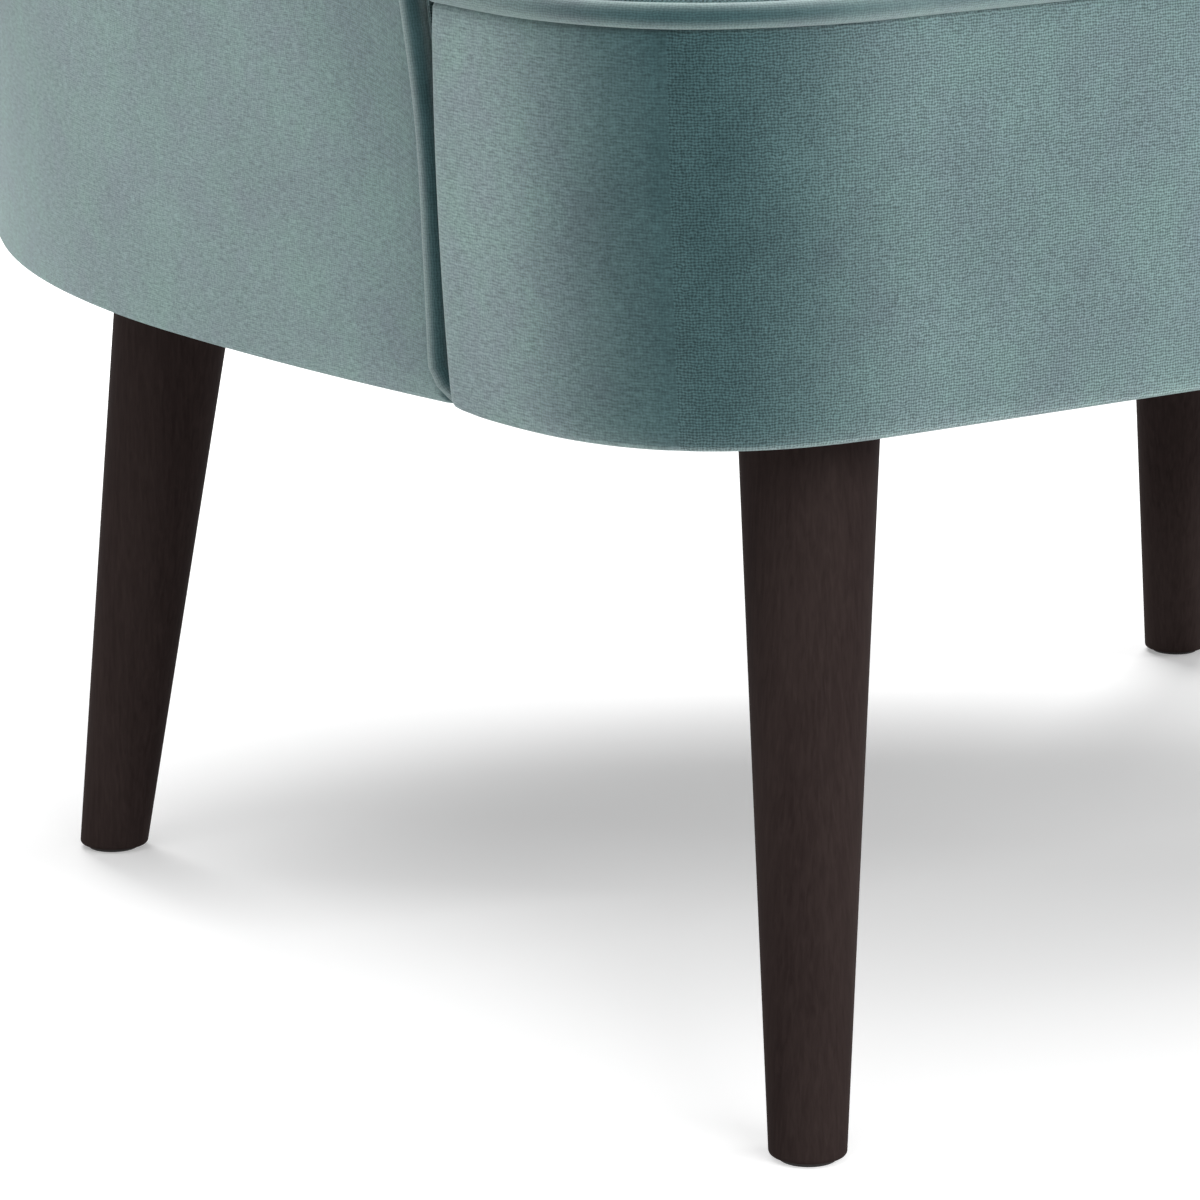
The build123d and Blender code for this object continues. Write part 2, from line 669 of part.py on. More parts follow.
parts["rim_padding"] = layer(both_arms(POST_SETBACK), rim_padding_corners)


# Covers of the shell
cavity = inside_block(both_arms(COVER), FLANGE_OUT + COVER, COVER, DECK - FRAME)
flange_end = RIM_SHOULDER + WELT_DIAMETER


def flange_bottom(place):
    return rim(place, WELT_SEAT, flange_end)


flange_trim = slab(both_arms(WELT_SEAT), FLANGE_OUT - COVER, FRAME_OUT + FIT, DECK - FRAME, flange_bottom)
inside_cover = inside_block(both_arms(0), FLANGE_OUT, 0, DECK) - cavity - flange_trim


def arm_facing():
    """Velvet-covered strip that closes the left arm's front below the seat."""
    whole = inside_block(both_arms(0), FLANGE_OUT, 0, 0)
    room = block(-far, -side_rail_out - FIT, -far, far, RAIL_CLEARANCE, DECK - GLUE_LINE)
    return whole & ahead_of((POST_SETBACK - FIT) / ARM_LENGTH) & room


left_facing = largest(arm_facing())
parts["left_inside_arm_cover"] = [inside_cover & left_arm_room, left_facing]
parts["right_inside_arm_cover"] = [inside_cover & right_arm_room, mirror(left_facing, Plane.YZ)]
parts["inside_back_cover"] = inside_cover & back_room


def outer_top(place):
    return rim(place, WELT_SEAT, WELT_DROP + WELT_RADIUS + FIT)


parts["outside_cover"] = slab(both_arms(WELT_SEAT), 0, COVER, 0, outer_top)
parts["outer_board"] = slab(both_arms(WELT_SEAT), BOARD_OUT, BOARD_OUT + BOARD, RAIL_CLEARANCE, outer_top)


def shell_welt():
    """Welt up one arm's front edge, round the rim and down the other arm."""
    setback = WELT_RADIUS + FIT / 2
    run = both_arms(setback)
    middles = [(before + after) / 2 for before, after in zip(run, run[1:])]
    along = sorted(run[1:-1] + middles)
    points = [at(run[0], WELT_SINK, 0)]
    points += [at(place, WELT_SINK, rim(place, setback, WELT_DROP)) for place in along]
    points += [at(run[-1], WELT_SINK, 0)]
    radii = []
    for before, here, after in zip(points, points[1:], points[2:]):
        turn = radians((here - before).get_angle(after - here))
        shorter = min((here - before).length, (after - here).length)
        radii.append(WELT_EASE * shorter / tan(turn / 2))
    return swept_cord(FilletPolyline(*points, radius=radii).wire(), WELT_DIAMETER)


parts["shell_welt"] = shell_welt()


# Underside
dust_plan = shell_plan(BOARD_OUT + BOARD + FIT, 0) + nose_plan(COVER + FIT)
dust_plan += Pos(0, NOSE_BACK_Y) * Rectangle(2 * (side_rail_out - FRAME), 2 * NOSE_INSET)
dust_cover = prism(dust_plan, RAIL_CLEARANCE - GLUE_LINE - DUST_COVER, RAIL_CLEARANCE - GLUE_LINE)
for x, y in leg_places.values():
    dust_cover -= upright(x, y, 0, RAIL_CLEARANCE, LEG_TOP_DIAMETER + 2 * LEG_ROOM)
parts["dust_cover"] = dust_cover

os.makedirs("parts", exist_ok=True)
for name, shape in parts.items():
    if isinstance(shape, list):
        shape = Compound(children=[Part(solid.wrapped) for piece in shape for solid in piece.solids()])
    export_step(shape, f"parts/{name}.step")
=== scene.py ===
import json
import math
import bpy
import numpy as np
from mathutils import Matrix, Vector

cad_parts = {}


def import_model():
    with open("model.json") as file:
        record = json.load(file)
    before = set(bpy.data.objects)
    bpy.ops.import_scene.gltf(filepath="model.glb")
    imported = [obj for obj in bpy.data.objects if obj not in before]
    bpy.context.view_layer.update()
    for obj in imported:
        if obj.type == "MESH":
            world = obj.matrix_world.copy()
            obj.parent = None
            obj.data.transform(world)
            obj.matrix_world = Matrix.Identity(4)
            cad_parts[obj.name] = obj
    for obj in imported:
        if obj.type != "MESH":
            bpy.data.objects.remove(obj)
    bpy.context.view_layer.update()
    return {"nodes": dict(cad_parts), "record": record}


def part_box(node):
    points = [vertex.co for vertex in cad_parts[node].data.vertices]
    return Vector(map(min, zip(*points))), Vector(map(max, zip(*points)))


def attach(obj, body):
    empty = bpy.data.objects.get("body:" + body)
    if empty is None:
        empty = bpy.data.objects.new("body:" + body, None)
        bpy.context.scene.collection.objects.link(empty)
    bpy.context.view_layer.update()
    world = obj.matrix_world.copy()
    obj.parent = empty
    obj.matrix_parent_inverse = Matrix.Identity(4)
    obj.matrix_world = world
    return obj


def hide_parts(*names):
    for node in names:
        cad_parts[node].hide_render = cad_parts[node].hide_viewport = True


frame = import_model()
MM = 0.001

# Sizes repeated from the part, in millimetres; its angles as slopes
BODY_HALF_WIDTH, BACK_DEPTH = 360.0, 405.0
ARM_LENGTH, ARM_TOE_IN = 156.0, 11.0
NOSE_LENGTH, NOSE_OVERHANG, NOSE_REAR, NOSE_GAP = 125.0, 5.0, 10.0, 1.0
UNDERSIDE, BOXING_HEIGHT, SEAT_RISE = 245.0, 134.0, 46.0
ARM_HEIGHT, ARM_CORNER, BACK_RISE = 365.0, 70.0, 180.0
SIDE_FLARE, BACK_RECLINE, ARM_RAKE = (math.tan(math.radians(a)) for a in (3.0, 8.0, 4.0))
PADDING_BACK, SHELL_THICKNESS = 30.3, 67.5
RIM_RADIUS, RIM_SHOULDER = 28.0, 12.0
ARM_NOSE, ARM_EDGE = 45.0, 12.0
WELT_RADIUS, WELT_DROP, WELT_SINK = 4.2, 10.0, 1.0
DECK = 96.4

# Sizes of the covers alone, in millimetres
NOSE_CORNER, CORNER_FULLNESS = 104.0, 2.8  # reach of the nose's front corners, and their superellipse power
UPRIGHT, SWEEP = 60.0, 120.0  # the arm's front edge stands straight this high, then sweeps back
FLANGE, RAIL_COVER = 4.8, 23.3
FACING_LOW, FACING_DEPTH, FACING_FOLD, FACING_STEP = 2.0, 9.0, 2.5, 1.6
INSIDE_PUFF, PUFF_START, PUFF_SPAN = 7.0, 30.0, 120.0
OUTSIDE_PUFF, BORDER_PUFF, BELLY = 1.6, 1.4, 2.0
EDGE_ROLL, EDGE_SPAN = 3.2, 5.0
SEAM_DEPTH, SEAM_WIDTH, SEAM_PINCH = 2.2, 4.0, 0.4
HEM_DROP, HEM_REACH, HEM_HEIGHT = 0.95, 5.2, 16.0
HEM_LIFT, LIFT_SPAN, LIFT_HEIGHT = 1.0, 25.0, 10.0  # the border's hem rises towards the nose's rear
WELT_SETBACK, SHELL_WELT_SINK = 4.4, 0.2
WELT_END, WELT_TUCK = 2.6, 11.0  # the shell welt ends this high, and turns away over this height
TUCK_AHEAD, TUCK_IN = 4.0, 5.0
WELT_WOBBLE = 0.05
SEAT_WELT_END, BORDER_END = 333.0, 335.4  # distances from the middle, behind the ears
SEAT_INSET, SEAT_LIFT = 3.5, 1.5  # edge of the seat's top, from the border's face and over the welt's middle
SEAT_CLEARANCE = 0.3
FRONT_ROLL, EAR_ROLL, BACK_ROLL = 165.0, 60.0, 150.0  # how far the seat's crown takes to rise from its edges
ROLL_POWER, SIDE_ROUND, FRONT_ROUND = 2.6, 0.62, 0.55
NECK_AHEAD, NECK_BLEND = 25.0, 110.0  # from the nose's crown to the crown between the arms
REAR_FALL, REAR_END, REAR_CROWN = 200.0, 345.0, 0.62  # the crown's lower rear
DUST_INSET, DUST_EDGE, DUST_LIFT = 3.0, 6.0, 0.82
DUST_SAG, DUST_RIPPLE, DUST_MARGIN = 3.0, 0.35, 90.0

# Sizes that follow from these
SEAT_FRONT_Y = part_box("seat_border_cover")[0].y / MM
ARM_FRONT_Y = SEAT_FRONT_Y + NOSE_LENGTH
WIDEST_Y = ARM_FRONT_Y + ARM_LENGTH
NOSE_BACK_Y = ARM_FRONT_Y - NOSE_GAP
NOSE_HALF = BODY_HALF_WIDTH - ARM_TOE_IN + NOSE_OVERHANG
NOSE_INNER = NOSE_HALF - NOSE_CORNER
NECK = BODY_HALF_WIDTH - ARM_TOE_IN - ARM_EDGE - 4.0
WELT_HEIGHT = BOXING_HEIGHT + WELT_RADIUS
SIDE_RADIUS = (ARM_LENGTH**2 + ARM_TOE_IN**2) / (2 * ARM_TOE_IN)
BACK_GIRTH = math.pi * math.sqrt((BODY_HALF_WIDTH**2 + BACK_DEPTH**2) / 2) / 2
HALF_RUN = ARM_LENGTH + BACK_GIRTH


def smooth(x):
    x = min(max(x, 0.0), 1.0)
    return x * x * (3 - 2 * x)


def along_of(run):
    """Place on one half of the shell for a distance from the arm's front edge."""
    if run <= ARM_LENGTH:
        return run / ARM_LENGTH
    return 1 + (run - ARM_LENGTH) / BACK_GIRTH


def shell_point(side, run, depth, height):
    """Point of the shell: distance behind the arm's front edge, depth from the outer face, height."""
    along = along_of(run)
    if along <= 1:
        turn = math.asin((along - 1) * ARM_LENGTH / SIDE_RADIUS)
        x = BODY_HALF_WIDTH + SIDE_RADIUS * (math.cos(turn) - 1)
        y = WIDEST_Y + SIDE_RADIUS * math.sin(turn)
        normal = Vector((side * math.cos(turn), math.sin(turn)))
        backness = 0.0
    else:
        turn = (along - 1) * math.pi / 2
        x = BODY_HALF_WIDTH * math.cos(turn)
        y = WIDEST_Y + BACK_DEPTH * math.sin(turn)
        normal = Vector((side * math.cos(turn) / BODY_HALF_WIDTH, math.sin(turn) / BACK_DEPTH)).normalized()
        backness = math.sin(turn) ** 2
    lean = SIDE_FLARE * (1 - backness) + BACK_RECLINE * backness
    rake = ARM_RAKE * max(1 - along, 0) * smooth((height - UPRIGHT) / SWEEP)
    place = Vector((side * x, y)) - normal * (depth - height * lean)
    place += Vector((-side * normal.y, side * normal.x)) * rake * height
    return place.x, place.y, UNDERSIDE + height


def rim(run, setback=0.0, drop=0.0):
    """Height of an edge that follows the rim, starting setback behind the arm's front edge."""
    if run < ARM_CORNER:
        share = (ARM_CORNER - run) / (ARM_CORNER - setback)
        return ARM_HEIGHT - ARM_CORNER + (ARM_CORNER - drop) * math.sqrt(max(1 - share**2, 0))
    return ARM_HEIGHT + BACK_RISE * smooth((run - ARM_CORNER) / (HALF_RUN - ARM_CORNER)) - drop


def inner_face(run):
    share = min(run / ARM_NOSE, 1)
    return ARM_EDGE + (SHELL_THICKNESS - ARM_EDGE) * math.sqrt(1 - (1 - share) ** 2)


def half_runs(first, close, step):
    """Distances along one half of the shell, close near the arm's front and then in even steps."""
    count = max(round((HALF_RUN - close[-1]) / step), 1)
    rest = np.linspace(close[-1], HALF_RUN, count + 1)[1:]
    return [first] + [run for run in close if run > first] + list(rest)


def whole_shell(runs, profile):
    """Columns of profile points from the left arm's front round the back to the right arm's."""
    columns = [[shell_point(-1, run, d, h) for d, h in profile(run)] for run in runs]
    columns += [[shell_point(1, run, d, h) for d, h in profile(run)] for run in reversed(runs[:-1])]
    return np.array(columns)


def arc(centre, radius, start, end, count):
    """Points of an arc in a section, with its angles in degrees."""
    angles = np.radians(np.linspace(start, end, count))
    return [(centre[0] + radius * math.cos(a), centre[1] + radius * math.sin(a)) for a in angles]


def lengths(points):
    steps = np.linalg.norm(np.diff(points, axis=0), axis=1)
    return np.concatenate([[0], np.cumsum(steps)])


def loft(name, columns, closed=True, turn=False):
    """Mesh through columns of points, with its texture coordinates in metres along and across."""
    columns = np.asarray(columns) * MM
    count, size = columns.shape[:2]
    middle = size // 3
    along = lengths(columns[:, middle])
    across = lengths(np.vstack([columns[count // 2], columns[count // 2][:1]]))
    faces, coords = [], []
    for i in range(count - 1):
        for j in range(size if closed else size - 1):
            k = (j + 1) % size
            quad = [i * size + j, (i + 1) * size + j, (i + 1) * size + k, i * size + k]
            flat = [(along[i], across[j]), (along[i + 1], across[j])]
            flat += [(along[i + 1], across[j + 1]), (along[i], across[j + 1])]
            if turn:
                quad.reverse()
                flat.reverse()
            faces.append(quad)
            coords += flat
    ends = []
    if closed:
        first, last = list(range(size)), list(range((count - 1) * size, count * size))
        ends = [first[::-1], last] if turn else [first, last[::-1]]
    for end in ends:
        faces.append(end)
        corners = columns.reshape(-1, 3)[end]
        coords += [(x + y, z) for x, y, z in corners]
    return new_mesh(name, columns.reshape(-1, 3), faces, coords, len(ends))


def new_mesh(name, points, faces, coords, flat=0):
    """Smooth mesh with texture coordinates; its last faces, as many as flat says, are shaded flat."""
    mesh = bpy.data.meshes.new(name)
    mesh.from_pydata([tuple(p) for p in points], [], faces)
    layer = mesh.uv_layers.new(name="flat")
    layer.data.foreach_set("uv", np.array(coords, np.float32).ravel())
    mesh.polygons.foreach_set("use_smooth", [True] * (len(faces) - flat) + [False] * flat)
    mesh.update()
    piece = bpy.data.objects.new(name, mesh)
    bpy.context.collection.objects.link(piece)
    return piece


def tube(name, path, radius, count=20, wobble=0.0):
    """Round cord along points, its section turned as little as possible on the way."""
    path = np.asarray(path, float)
    ways = np.gradient(path, axis=0)
    ways /= np.linalg.norm(ways, axis=1)[:, None]
    side = np.cross(ways[0], (0.3, 0.5, 0.81))
    side /= np.linalg.norm(side)
    run = lengths(path)
    columns = []
    for point, way, far in zip(path, ways, run):
        side = side - way * side.dot(way)
        side /= np.linalg.norm(side)
        up = np.cross(way, side)
        size = radius + wobble * (math.sin(far / 23.0) + math.sin(far / 9.7 + 1.3))
        angles = np.arange(count) * 2 * math.pi / count
        columns.append([point + size * (side * math.cos(a) + up * math.sin(a)) for a in angles])
    return loft(name, np.array(columns))


# Covers of the shell
HEM = ((16.0, 0.7), (10.0, 0.35), (4.5, 0.05), (2.0, 0.25), (0.7, 0.95), (0.1, 2.4))


def outside_profile(run):
    """Flap under the frame, rounded lower edge, outer face, and the edge rolled in behind the welt."""
    top = rim(run, WELT_SETBACK, WELT_DROP)
    roll = max(1 - (run - WELT_SETBACK) / EDGE_SPAN, 0) ** 2 * EDGE_ROLL
    belly = BELLY * math.sin(math.pi * min(max(along_of(run) - 1, 0), 1))
    points = [(depth + roll - belly, height - HEM_DROP) for depth, height in HEM]
    for t in np.linspace(0, 1, 34)[1:-1]:
        ends = smooth((run - WELT_SETBACK) / 60)
        puff = OUTSIDE_PUFF * math.sin(math.pi * t) ** 0.8 * ends + belly * (1 - t)
        points.append((roll - puff, 2.4 - HEM_DROP + t * (top - 9.0 + HEM_DROP)))
    points += [(0.2 + roll, top - 4.6), (0.9 + roll, top - 2.4), (2.4 + roll, top - 0.6), (4.8, top)]
    points.append((5.2, top - 1.5))
    lining = ((2.2, top - 6.0), (2.2, top * 0.5), (2.2, 5.0), (2.4, 1.9), (4.5, 0.85), (16.0, 0.85))
    return points + [(depth + roll, height) for depth, height in lining]


def outside_column(side, run):
    """One column of the outside cover; beside the nose its lower corner reaches forward to close the gap."""
    column = []
    near = smooth(1 - (run - WELT_SETBACK) / 40)
    for depth, height in outside_profile(run):
        reach = HEM_REACH * max(1 - max(height, 0) / HEM_HEIGHT, 0) ** 2 * near
        column.append(shell_point(side, run - reach, depth, height))
    return column


def inside_profile(run):
    """Padded inside: flange behind the welt, rolled rim, inner face down to the seat, and its back.

    At the seam between arm and back the face rolls in, and the arm's front runs down to the underside.
    """
    high = rim(run)
    inner = inner_face(run)
    opened = smooth((run - FACING_DEPTH) / FACING_FOLD)
    flange = FLANGE - FACING_STEP * (1 - opened)
    room = inner - flange
    shoulder = min(RIM_SHOULDER, 0.25 * room)
    big = min(RIM_RADIUS, 0.7 * room)
    soft = smooth((run - PUFF_START) / PUFF_SPAN)
    tuck = SEAM_DEPTH * max(1 - abs(run - ARM_LENGTH) / SEAM_WIDTH, 0) ** 2
    low = FACING_LOW + (DECK - FACING_LOW) * opened
    shelf = low + (max(high - RAIL_COVER, low) - low) * opened
    back = flange + 0.3 + (min(PADDING_BACK, inner - 8.0) - flange - 0.3) * opened
    points = [(flange, shelf)]
    for t in np.linspace(0, 1, 6)[1:]:
        points.append((flange + tuck, shelf + t * (high - shoulder - shelf)))
    points += arc((flange + shoulder, high - shoulder), shoulder - tuck, 180, 90, 6)[1:]
    points += arc((inner - big, high - big), big - tuck, 90, 0, 10)[1:]
    top = high - big
    crease = WELT_HEIGHT + SEAT_RISE * 0.5
    for t in np.linspace(0, 1, 30)[1:]:
        height = top + t * (low - top)
        above = min(max(height - crease, 0) / max(top - crease, 1), 1)
        puff = INSIDE_PUFF * soft * math.sin(math.pi * above) ** 0.8
        face = inner if height > DECK else min(inner, PADDING_BACK - 0.8)
        points.append((face + puff - tuck, height))
    points += [(back, low), (back, (low + shelf) / 2), (back, shelf)]
    return points


# Distances behind the arm's front edge of the covers' close columns: outside and welt, then inside
CLOSE = [5.0, 5.8, 6.8, 8.0, 9.4, 11.0, 13.0, 15.5, 18.5, 22.0, 26.0, 30.5]
CLOSE += [35.5, 41.0, 47.0, 54.0, 62.0, 70.0]
FRONT = [0.0, 0.4, 1.2, 2.4, 4.0, 6.0, 8.0, 9.0, 9.8, 10.6, 11.5, 13.0, 15.5, 18.5, 22.0, 26.0]
FRONT += [30.5, 35.5, 40.5, 45.0, 51.0, 57.0, 63.0, 70.0]
outside_runs = half_runs(WELT_SETBACK, CLOSE, 9.0)
outside_columns = [outside_column(-1, run) for run in outside_runs]
outside_columns += [outside_column(1, run) for run in reversed(outside_runs[:-1])]
outside = loft("outside_cover_cloth", outside_columns, turn=True)


def inside_panels():
    """Left inside arm, inside back and right inside arm, joined by seams at the widest line."""
    near = [ARM_LENGTH + gap for gap in (0.0, 0.6, 1.4, 2.6, 4.4)]
    front = FRONT + list(np.linspace(FRONT[-1], 2 * ARM_LENGTH - near[-1], 11)[1:])
    front += [2 * ARM_LENGTH - run for run in reversed(near[:-1])]
    rear = near + list(np.linspace(near[-1], HALF_RUN, 68)[1:])
    made = []
    for side, name in ((-1, "left"), (1, "right")):
        columns = [[shell_point(side, run, d, h) for d, h in inside_profile(run)] for run in front]
        made.append(loft(name + "_inside_arm_cloth", columns, turn=side < 0))
    made.append(loft("inside_back_cloth", whole_shell(rear, inside_profile), turn=True))
    return made


left_inside, right_inside, back_inside = inside_panels()


# Welts
def shell_welt_path():
    runs = half_runs(WELT_SETBACK, CLOSE, 8.0)
    left = []
    for height in np.linspace(WELT_END, rim(runs[0], WELT_SETBACK, WELT_DROP), 60)[:-1]:
        tuck = max(1 - (height - WELT_END) / WELT_TUCK, 0) ** 2
        left.append((runs[0] - TUCK_AHEAD * tuck, SHELL_WELT_SINK + TUCK_IN * tuck, height))
    left += [(run, SHELL_WELT_SINK, rim(run, WELT_SETBACK, WELT_DROP)) for run in runs]
    points = [shell_point(-1, *place) for place in left]
    return points + [shell_point(1, *place) for place in reversed(left[:-1])]


def flared(x, height):
    """Where a point of the nose's plan comes to lie at a height: its sides lean out as the shell does."""
    share = min(max((abs(x) - NOSE_HALF + NOSE_CORNER) / NOSE_CORNER, 0), 1)
    return x + math.copysign(SIDE_FLARE * height * share, x)


CORNER_STEPS = [0.0, 0.3, 1.0, 2.0, 3.5] + list(np.linspace(5, 85, 33)) + [86.5, 88.0, 89.0, 89.7, 90.0]


def nose_path(inset, rear_end, step=6.0):
    """Points and outward directions round the seat's nose, from the left rear to the right rear."""
    half, front, back = NOSE_HALF - inset, SEAT_FRONT_Y + inset, NOSE_BACK_Y - inset
    small, big = max(NOSE_REAR - inset, 1.0), NOSE_CORNER - inset
    power = 2 / CORNER_FULLNESS
    left = []
    for t in np.linspace(0, 1, 4)[:-1]:
        left.append((-rear_end + t * (rear_end - half + small), back, 0, 1))
    for a in np.radians(np.linspace(90, 180, 9)):
        c, s = math.cos(a), math.sin(a)
        left.append((-half + small + small * c, back - small + small * s, c, s))
    run = back - small - front - big
    for t in np.linspace(0, 1, max(round(run / step), 2) + 1)[1:-1]:
        left.append((-half, back - small - t * run, -1, 0))
    for a in np.radians(CORNER_STEPS):
        c, s = math.cos(a), math.sin(a)
        way = Vector((c ** (2 - power), s ** (2 - power))).normalized()
        left.append((-half + big - big * c**power, front + big - big * s**power, -way.x, -way.y))
    for t in np.linspace(0, 1, 47)[1:]:
        left.append(((half - big) * (t - 1), front, 0, -1))
    return left + [(-x, y, -nx, ny) for x, y, nx, ny in reversed(left[:-1])]


def seat_welt_path():
    plan = nose_path(WELT_SINK, SEAT_WELT_END)
    return [(flared(x, WELT_HEIGHT), y, UNDERSIDE + WELT_HEIGHT) for x, y, nx, ny in plan]


shell_welt = tube("shell_welt_cord", shell_welt_path(), WELT_RADIUS, wobble=WELT_WOBBLE)
seat_welt = tube("seat_welt_cord", seat_welt_path(), WELT_RADIUS, wobble=WELT_WOBBLE)


# Seat
SEAT_BACK_Y = shell_point(1, HALF_RUN, SHELL_THICKNESS, WELT_HEIGHT)[1]


def border_profile():
    top = BOXING_HEIGHT
    points = [(-depth, height - HEM_DROP) for depth, height in HEM]
    for t in np.linspace(0, 1, 24)[1:-1]:
        puff = BORDER_PUFF * math.sin(math.pi * t) ** 0.8
        points.append((puff, 2.4 - HEM_DROP + t * (top - 5.0 + HEM_DROP)))
    points += [(-0.2, top - 1.8), (-0.9, top - 0.2), (-2.6, top + 1.4), (-5.0, top + 2.0)]
    points += [(-5.4, top), (-2.4, top - 5.0), (-2.4, top / 2), (-2.4, 5.0)]
    return points + [(-2.8, 1.9), (-4.5, 0.85), (-16.0, 0.85)]


def make_border():
    """Front panel and two side panels of the nose, joined by plain seams in the middle of its corners."""
    path = nose_path(0.0, BORDER_END)
    columns = []
    for x, y, nx, ny in path:
        sewn = math.exp(-((abs(nx) + ny) / 0.012) ** 2) * SEAM_PINCH
        lift = HEM_LIFT * smooth(1 - (NOSE_BACK_Y - y) / LIFT_SPAN)
        column = []
        for out, height in border_profile():
            out -= sewn
            raised = lift * max(1 - abs(height) / LIFT_HEIGHT, 0)
            column.append((flared(x + nx * out, height), y + ny * out, UNDERSIDE + height + raised))
        columns.append(column)
    made = loft("seat_border_cloth", columns, turn=True)
    front = [(a[3] + b[3]) < -abs(a[2] + b[2]) for a, b in zip(path, path[1:])]
    sides = [0 if ahead else 1 for ahead in front for row in border_profile()] + [1, 1]
    made.data.polygons.foreach_set("material_index", sides)
    return made


border = make_border()


def corner_rows(inset, degrees):
    """Distance back and half width of the nose's plan, row by row round its front corners."""
    front, big = SEAT_FRONT_Y + inset, NOSE_CORNER - inset
    power = 2 / CORNER_FULLNESS
    rows = []
    for a in np.radians(degrees):
        rows.append((front + big * (1 - math.cos(a) ** power), NOSE_INNER + big * math.sin(a) ** power))
    return rows


def seat_rows():
    """Half width of the seat's plan at each distance back: nose, neck between the arms, barrel."""
    inset, small = SEAT_INSET, NOSE_REAR - SEAT_INSET
    rows = corner_rows(inset, list(np.linspace(0, 82, 24)) + [84.0, 86.0, 87.5, 88.7, 89.5, 90.0])
    rear_of_corner = SEAT_FRONT_Y + NOSE_CORNER
    back = NOSE_BACK_Y - inset
    for y in np.linspace(rear_of_corner, back - small, 5)[1:-1]:
        rows.append((y, NOSE_HALF - inset))
    for a in np.radians(np.linspace(0, 80, 6)):
        rows.append((back - small + small * math.sin(a), NOSE_HALF - inset - small + small * math.cos(a)))
    rows += [(back + gap, NECK + 1.0) for gap in (0.6, 1.8, 3.4)]
    for run in list(np.linspace(1.0, 40.0, 9)) + list(np.linspace(48, HALF_RUN - 1, 62)):
        x, y = shell_point(1, run, inner_face(run) + SEAT_CLEARANCE, WELT_HEIGHT)[:2]
        if y > back + 1.5:
            rows.append((y, min(x, NECK) if run < 12 else x))
    return [(y, flared(half, WELT_HEIGHT) if y < back + 0.5 else half) for y, half in rows]


def seat_height(x, y, half):
    """Crown of the seat: pulled down to the welt round the nose and its ears, full elsewhere."""
    back = NOSE_BACK_Y - SEAT_INSET
    ahead = y - (SEAT_FRONT_Y + SEAT_INSET)
    inside = smooth((y - ARM_FRONT_Y + NECK_AHEAD) / NECK_BLEND)
    rear = smooth((WIDEST_Y + REAR_END - y) / REAR_FALL)
    spread = half
    if y > SEAT_FRONT_Y + NOSE_CORNER:
        nose = flared(NOSE_HALF - SEAT_INSET, WELT_HEIGHT)
        spread += (nose - half) * smooth(1 - (y - back) / NECK_BLEND)
    apart = math.hypot(max(NECK - abs(x), 0), y - back)
    rise = 1.0
    for share in (ahead / FRONT_ROLL, apart / EAR_ROLL):
        rise *= 1 - max(1 - share, 0) ** ROLL_POWER
    behind = min(max(1 - (SEAT_BACK_Y - y) / BACK_ROLL, 0), 1)
    side = ((1 - min(abs(x) / spread, 1) ** (5 - inside)) * (1 - behind**4)) ** SIDE_ROUND
    base = 0.5 * inside
    crown = (base + (1 - base) * side) * rise**FRONT_ROUND * (REAR_CROWN + (1 - REAR_CROWN) * rear)
    return WELT_HEIGHT + SEAT_LIFT + SEAT_RISE * crown


def across_seat(half):
    """Places across the seat: between the arm fronts, and close together in the ears beside them."""
    inner = 0.99 * min(half, NECK)
    middle = inner * np.sin(np.linspace(-1, 1, 65) * math.pi / 2)
    ear = np.linspace(inner, half, 9)[1:]
    return np.concatenate([-ear[::-1], middle, ear])


def make_seat():
    rows = seat_rows()
    top = [[(x, y, UNDERSIDE + seat_height(x, y, half)) for x in across_seat(half)] for y, half in rows]
    low = [[(x * 0.99, y, UNDERSIDE + DECK + SEAT_CLEARANCE) for x in across_seat(half)] for y, half in rows]
    count, size = len(rows), len(top[0])
    points = np.vstack([np.array(top).reshape(-1, 3), np.array(low).reshape(-1, 3)]) * MM
    under = count * size
    faces = []
    for i in range(count - 1):
        for j in range(size - 1):
            a, b = i * size + j, (i + 1) * size + j
            faces.append((a, a + 1, b + 1, b))
            faces.append((under + a, under + b, under + b + 1, under + a + 1))
    ring = list(range(size)) + [i * size + size - 1 for i in range(1, count)]
    ring += [(count - 1) * size + j for j in range(size - 2, -1, -1)]
    ring += [i * size for i in range(count - 2, 0, -1)]
    for a, b in zip(ring, ring[1:] + ring[:1]):
        faces.append((b, a, under + a, under + b))
    coords = [(points[v][0], points[v][1]) for face in faces for v in face]
    return new_mesh("seat_top_cushion", points, faces, coords, len(ring))


seat = make_seat()


# Dust cloth under the seat, drawn tight with a little sag
def make_dust():
    rows = corner_rows(DUST_INSET, np.linspace(0, 90, 13))
    rows.append((NOSE_BACK_Y - 8.0, NOSE_HALF - DUST_INSET))
    rows.append((NOSE_BACK_Y - 4.0, NOSE_HALF - 8.0))
    for run in np.linspace(2.0, HALF_RUN - 1, 44):
        x, y = shell_point(1, run, DUST_EDGE, 0)[:2]
        rows.append((y, x))
    us = np.sin(np.linspace(-1, 1, 41) * math.pi / 2)
    columns = []
    for y, w in rows:
        near = smooth(min(y - rows[0][0], rows[-1][0] - y) / DUST_MARGIN)
        column = []
        for u in us:
            sag = DUST_SAG * near * (1 - u**4)
            ripple = DUST_RIPPLE * near * math.sin(u * w / 31 + y / 57) * (1 - u**8)
            column.append((u * w, y, UNDERSIDE + DUST_LIFT - sag + ripple))
        columns.append(column)
    return loft("dust_cloth", columns, closed=False)


dust = make_dust()


# Materials
def put(tree, socket, value):
    """Link a socket to another one, or set its value."""
    if isinstance(value, bpy.types.NodeSocket):
        tree.links.new(value, socket)
    else:
        socket.default_value = value


